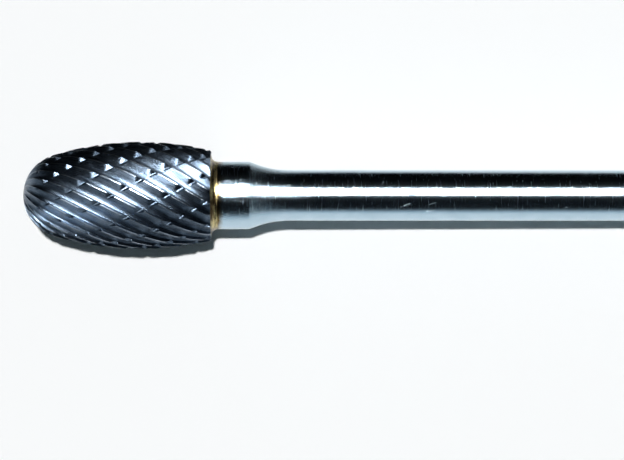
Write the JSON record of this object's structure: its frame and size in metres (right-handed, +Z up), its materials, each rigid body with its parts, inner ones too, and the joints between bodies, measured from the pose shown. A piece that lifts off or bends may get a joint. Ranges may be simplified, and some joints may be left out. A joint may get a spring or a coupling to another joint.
{
  "type": "carbide burr",
  "caption": "Oval double-cut tungsten carbide burr brazed to a long cylindrical steel shank with a short collar, for a rotary grinder's collet.",
  "frame": {"origin": "on the surface that the tool lies on, under the middle of its length", "axes": "+X from the cutting head to the shank's end, +Z up. The tool lies as it comes to rest, on the belly of the head and the rim of the shank's end, so its own axis leans 1.22 degrees down towards the shank's end in the XZ plane"},
  "size_m": [0.1722, 0.0126, 0.0127],
  "materials": {
    "carbide": "ground sintered tungsten carbide, dark blue-grey, semi-bright in the flutes",
    "braze": "silver-bronze braze, golden with brown heat tint",
    "steel": "ground and polished tool steel"
  },
  "bodies": {
    "root": {"carbide_head": "carbide", "braze_joint": "braze", "steel_shank": "steel"}
  },
  "joints": []
}
